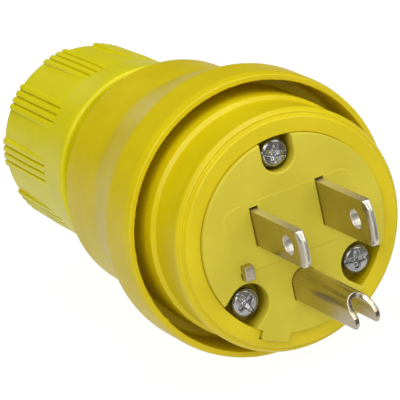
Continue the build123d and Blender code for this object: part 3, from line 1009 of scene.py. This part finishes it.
def screw_mesh(name):
    """Cheese-head screw with a cross recess and a slot, a domed rounded top and a threaded shank."""
    node = "assembly_screw_" + name
    top, end = span(node, Y)
    radius = measured["screw_radius"]
    under = top + screw_head_height
    rings = 26
    flat = radius - screw_corner
    profile = [(flat * ring / rings, top) for ring in range(rings + 1)]
    for step in range(1, 7):
        turn = math.pi / 2 * step / 6
        profile.append((flat + 0.5 * math.sin(turn), top + screw_corner * (1 - math.cos(turn))))
    profile += [(radius, top + 0.8), (radius, under - 0.12), (radius - 0.12, under),
                (screw_shank_radius, under)]
    stations = int((end - under - 1.2) / 0.12)
    profile += [(screw_shank_radius, under + station * 0.12) for station in range(1, stations)]
    profile += [(screw_shank_radius - 0.4, end - 0.4), (screw_shank_radius - 0.6, end), (0.0, end)]

    def shape(at_radius, y, angle):
        if y < top + 0.30 and at_radius < radius - 0.02:
            turn = math.radians(angle)
            dome = screw_dome * (at_radius / radius) ** 2
            dip = recess_depth(at_radius * math.cos(turn), at_radius * math.sin(turn))
            return at_radius, y + dome + dip
        if under + 1.0 < y < end - 1.3:
            phase = (y / screw_thread_pitch + angle / 360.0) % 1.0
            return at_radius - screw_thread_depth * abs(2 * phase - 1), y
        return at_radius, y
    mesh = turned_grid(profile, even_angles(96), shape)
    x = middle(node, X)
    z = middle(node, Z)
    return moved(mesh, x, z, screw_turns[name])


# ---------- sleeve, nut, washer and grommet

def thread_height(y, angle, start, end):
    """Height of a right-handed trapezoid thread at a station and an angle, from 0 to 1."""
    phase = (y / thread_pitch + angle / 360.0) % 1.0
    flank = abs(2 * phase - 1)
    height = smooth_step((flank - 0.28) / 0.34)
    fade = smooth_step((y - start) / 1.2) * smooth_step((end - y) / 1.2)
    return height, fade


def sleeve_mesh():
    """Rigid sleeve with its front flange and its threaded collar."""
    start, end = span("inner_sleeve", Y)
    boot_end = span("outer_boot", Y)[1]
    thread_end = end - 1.0
    outer = [(sleeve_flange_bore, start), (sleeve_flange_radius, start),
             (sleeve_flange_radius, sleeve_flange_end), (sleeve_radius, sleeve_flange_end),
             (sleeve_radius, boot_end + 0.6), (sleeve_radius - 0.1, boot_end + 0.85),
             (collar_crest, boot_end + 1.4)]
    threads = [(collar_crest, y) for y in spaced(thread_start, thread_end, thread_spacing)]
    inner = [(collar_crest - 0.15, end - 0.55), (collar_crest - 0.6, end), (sleeve_bore, end),
             (sleeve_bore, seat_end), (seat_bore, seat_end), (seat_bore, seat_start),
             (sleeve_bore, seat_start), (sleeve_bore, sleeve_flange_end + 0.5),
             (sleeve_flange_bore, sleeve_flange_end - 0.5)]

    def shape(radius, y, angle):
        if abs(radius - collar_crest) < 0.001 and y >= thread_start - 0.001:
            height, fade = thread_height(y, angle, thread_start - 0.4, thread_end + 0.4)
            return blend_between(collar_crest, blend_between(collar_root, collar_crest, height), fade), y
        return radius, y
    return turned_grid(outer + threads + inner, even_angles(240), shape)


def nut_angles():
    """Angles of the nut's columns: close together across each rib, wider on the plain land."""
    group_half = rib_pitch * ribs_in_group / 2
    plain = 360.0 / rib_groups - 2 * group_half
    angles = []
    for group in range(rib_groups):
        group_centre = first_group_angle + group * 360.0 / rib_groups
        for step in range(ribs_in_group):
            centre = group_centre + (step - (ribs_in_group - 1) / 2) * rib_pitch
            angles += [(centre + offset) % 360 for offset in rib_columns]
        start = group_centre + group_half
        angles += [(start + plain * step / land_columns) % 360 for step in range(land_columns)]
    unique = []
    for angle in sorted(angles):
        if not unique or angle - unique[-1] > 0.02:
            unique.append(angle)
    return unique


def nut_profile():
    """Closed profile of the nut, with close stations where the ribs start and end."""
    start, end = span("compression_nut", Y)
    outline = [(nut_bore, start, 0.3), (nut_front_radius, start, 0.75),
               (nut_crest_front, nut_rib_start, 0.0), (nut_bore, nut_rib_start, 0.0)]
    front = rounded(outline, 6)[:-2]
    outside = []
    for y in nut_plain_stations:
        share = (y - start) / (nut_rib_start - start)
        outside.append((blend_between(nut_front_radius, nut_crest_front, share), y))
    for y in nut_rib_stations:
        share = (y - nut_rib_start) / (end - nut_rib_start)
        outside.append((blend_between(nut_crest_front, nut_land_rear, share), y))
    rear = [(nut_land_rear, end - 0.5), (nut_land_rear - 0.08, end - 0.25),
            (nut_land_rear - 0.25, end - 0.08), (nut_land_rear - 0.5, end),
            (end_ring_outer, end), (end_ring_outer - 0.15, end - 0.05),
            (end_ring_outer - 0.25, end - end_ring_depth), (end_ring_inner + 0.3, end - end_ring_depth),
            (end_ring_inner + 0.15, end - 0.05), (end_ring_inner, end),
            (nut_mouth_radius + 1.5, end), (nut_mouth_radius + 0.9, end - 0.15),
            (nut_mouth_radius + 0.35, end - 0.6), (nut_mouth_radius, end - 1.4),
            (nut_mouth_radius, nut_throat_end), (nut_throat, nut_throat_end),
            (nut_throat, nut_bore_end + 1.2)]
    threads = [(nut_bore, y) for y in spaced(nut_bore_end, start + 1.2, nut_thread_spacing)]
    return front + outside + rear + threads


def nut_shape(radius, y, angle):
    """Grip ribs on the outside of the nut and the thread in its bore."""
    start, end = measured["nut"]
    if abs(radius - nut_bore) < 0.001 and start + 1.0 < y < nut_bore_end + 0.1:
        height, fade = thread_height(y, angle, start + 1.0, nut_bore_end - 0.8)
        depth = collar_crest - collar_root - 0.15
        return radius - depth * (1 - height) * fade * 0.75, y
    if y < nut_rib_start - 0.1 or radius < nut_land_rear - 0.6:
        return radius, y
    share = (y - nut_rib_start) / (end - nut_rib_start)
    crest = blend_between(nut_crest_front, nut_crest_rear, (share - 0.35) / 0.65)
    spacing = 360.0 / rib_groups
    in_group = (angle - first_group_angle + spacing / 2) % spacing - spacing / 2
    group_reach = (ribs_in_group - 1) / 2 * rib_pitch
    nearest = max(-group_reach, min(group_reach,
                  round((in_group + group_reach) / rib_pitch) * rib_pitch - group_reach))
    aside = math.radians(abs(in_group - nearest)) * rib_mean_radius
    rib = 1 - smooth_step((aside - rib_half_width + 0.04) / rib_flank)
    floor = radius
    if abs(in_group) < group_reach:
        opening = smooth_step((y - nut_rib_start + 0.02) / rib_run_in)
        floor = min(radius, crest - rib_groove_depth * opening)
    top = blend_between(floor, crest, smooth_step((end - 0.55 - y) / rib_run_out))
    rounding = rib_rounding * smooth_step(aside / rib_half_width)
    return blend_between(floor, max(floor, top - rounding), rib), y


def washer_mesh():
    """Thin washer between the nut and the grommet."""
    low, high = span("slip_washer", Y)
    outer = half_size("slip_washer", X)
    outline = rectangle(washer_bore, outer, low, high, washer_edge)
    return turned_grid(rounded(outline, 3), even_angles(96))


def grommet_mesh():
    """Rubber grommet round the cord, with shallow rings in its bore that grip the jacket."""
    low, high = span("cord_grommet", Y)
    outer = half_size("cord_grommet", X)
    outline = [(grommet_bore, high, 0.5), (grommet_bore, low, 0.5), (outer, low, 0.6),
               (outer, low + grommet_shoulder, 1.5), (outer - 2.0, high, 0.6)]
    profile = rounded(outline, 4)
    bore_rings = []
    count = 60
    for station in range(1, count):
        y = blend_between(high - 0.9, low + 0.9, station / count)
        wave = math.sin(math.tau * y / grommet_ring_pitch) ** 2
        bore_rings.append((grommet_bore + grommet_ring_height * wave, y))
    return turned_grid(profile[:5] + bore_rings + profile[5:], even_angles(96))


# ---------- everything together

def area_light(name, place, size, power):
    """Soft rectangular light at a place, aimed at the plug."""
    data = bpy.data.lights.new(name, "AREA")
    data.shape = "RECTANGLE"
    data.size, data.size_y = size
    data.energy = power
    light = new_object(name, data)
    light.location = place
    light.rotation_euler = (Vector(light_target) - Vector(place)).to_track_quat("-Z", "Y").to_euler()
    light.visible_camera = False


def make_lights():
    """Studio light: a dim world that the camera sees as white, softboxes and a small light behind."""
    world = bpy.data.worlds.new("studio")
    bpy.context.scene.world = world
    world.use_nodes = True
    tree = world.node_tree
    background = tree.nodes["Background"]
    background.inputs["Color"].default_value = (1.0, 1.0, 1.0, 1.0)
    tree.links.new(camera_or_light(tree, world_light, world_seen), background.inputs["Strength"])
    for name, (place, size, power) in studio_lights.items():
        area_light(name, place, size, power)


def flat_card(name, low, high, level, shade):
    """Level rectangle of a plain matt grey, for the stage. Returns it with its shader and node tree."""
    corners = [(low[0], low[1]), (high[0], low[1]), (high[0], high[1]), (low[0], high[1])]
    mesh = bpy.data.meshes.new(name)
    mesh.from_pydata([(x, y, level) for x, y in corners], [], [(0, 1, 2, 3)])
    card = new_object(name, mesh)
    material, tree, shader = new_material(name)
    shader.inputs["Base Color"].default_value = (shade, shade, shade, 1.0)
    shader.inputs["Roughness"].default_value = 1.0
    mesh.materials.append(material)
    return card, tree, shader


def make_floor():
    """Plain white floor just under the plug, which glows a little."""
    half = floor_half_size
    floor, tree, shader = flat_card("floor", (-half, -half), (half, half), cad_box[0][Z] - floor_gap,
                                    floor_shade)
    shader.inputs["Specular IOR Level"].default_value = 0.0
    shader.inputs["Emission Color"].default_value = (1.0, 1.0, 1.0, 1.0)
    tree.links.new(camera_or_light(tree, floor_light, floor_seen), shader.inputs["Emission Strength"])


def make_flag():
    """Grey card near the floor in front, seen only in reflections, that gives the metal its contrast."""
    flag = flat_card("flag", flag_low, flag_high, cad_box[0][Z] + flag_gap, flag_shade)[0]
    flag.visible_camera = False
    flag.visible_diffuse = False
    flag.visible_shadow = False
    flag.visible_transmission = False


def make_camera():
    """Camera at the photograph's viewing angle, with its small roll."""
    data = bpy.data.cameras.new("camera")
    data.lens = camera_lens
    data.sensor_width = camera_sensor
    data.clip_start = 0.05
    data.clip_end = 20.0
    camera = new_object("camera", data)
    place = Vector(camera_place)
    ahead = (Vector(camera_aim) - place).normalized()
    level_right = ahead.cross(Vector((0, 0, 1))).normalized()
    level_up = level_right.cross(ahead)
    roll = math.radians(camera_roll)
    right = level_right * math.cos(roll) + level_up * math.sin(roll)
    up = level_up * math.cos(roll) - level_right * math.sin(roll)
    turn = Matrix((right, up, -ahead)).transposed()
    camera.matrix_world = Matrix.Translation(place) @ turn.to_4x4()
    bpy.context.scene.camera = camera


def finish_cad_nodes(materials):
    """Give every CAD node the finish of the slot that its packed material names."""
    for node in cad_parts.values():
        for holder in node.material_slots:
            slot = holder.material.name.split(".")[0]
            holder.material = materials[slot]


def make_pieces(materials):
    """All the detailed pieces that stand for CAD nodes."""
    def piece(name, mesh, slot, nodes, body="plug", crease=40.0, finish=None):
        make_piece(name, mesh, materials[finish or slot], body, nodes, crease)
    piece("boot", turned_grid(boot_profile(), boot_angles(), boot_shape), "boot_rubber", ["outer_boot"])
    piece("face", face_mesh(), "face_nylon", ["front_face"])
    piece("face_panel", panel_mesh(), "face_nylon", [])
    piece("stub", stub_mesh(), "plated_brass", ["index_stub"])
    for side, node in (("left", "blade_hot"), ("right", "blade_neutral")):
        piece("blade_" + side, blade_mesh(node), "plated_brass", [node], finish="blade_brass")
    piece("pin", pin_mesh(), "plated_brass", ["ground_pin"])
    for name in pocket_angles:
        piece("face_screw_" + name, screw_mesh(name), "zinc_steel", ["assembly_screw_" + name], crease=60.0)
    piece("sleeve", sleeve_mesh(), "sleeve_nylon", ["inner_sleeve"], crease=60.0)
    piece("nut", turned_grid(nut_profile(), nut_angles(), nut_shape), "nut_nylon",
          ["compression_nut"], "nut", 60.0)
    piece("washer", washer_mesh(), "washer_nylon", ["slip_washer"], "washer")
    piece("grommet", grommet_mesh(), "seal_rubber", ["cord_grommet"])


measured = {
    "mouth": span("front_face", X)[1] + fit,
    "nut": span("compression_nut", Y),
    "screw_radius": half_size("assembly_screw_top", X),
}
bpy.context.scene.view_settings.view_transform = "Standard"
all_finishes = all_materials()
finish_cad_nodes(all_finishes)
make_pieces(all_finishes)
make_floor()
make_flag()
make_lights()
make_camera()
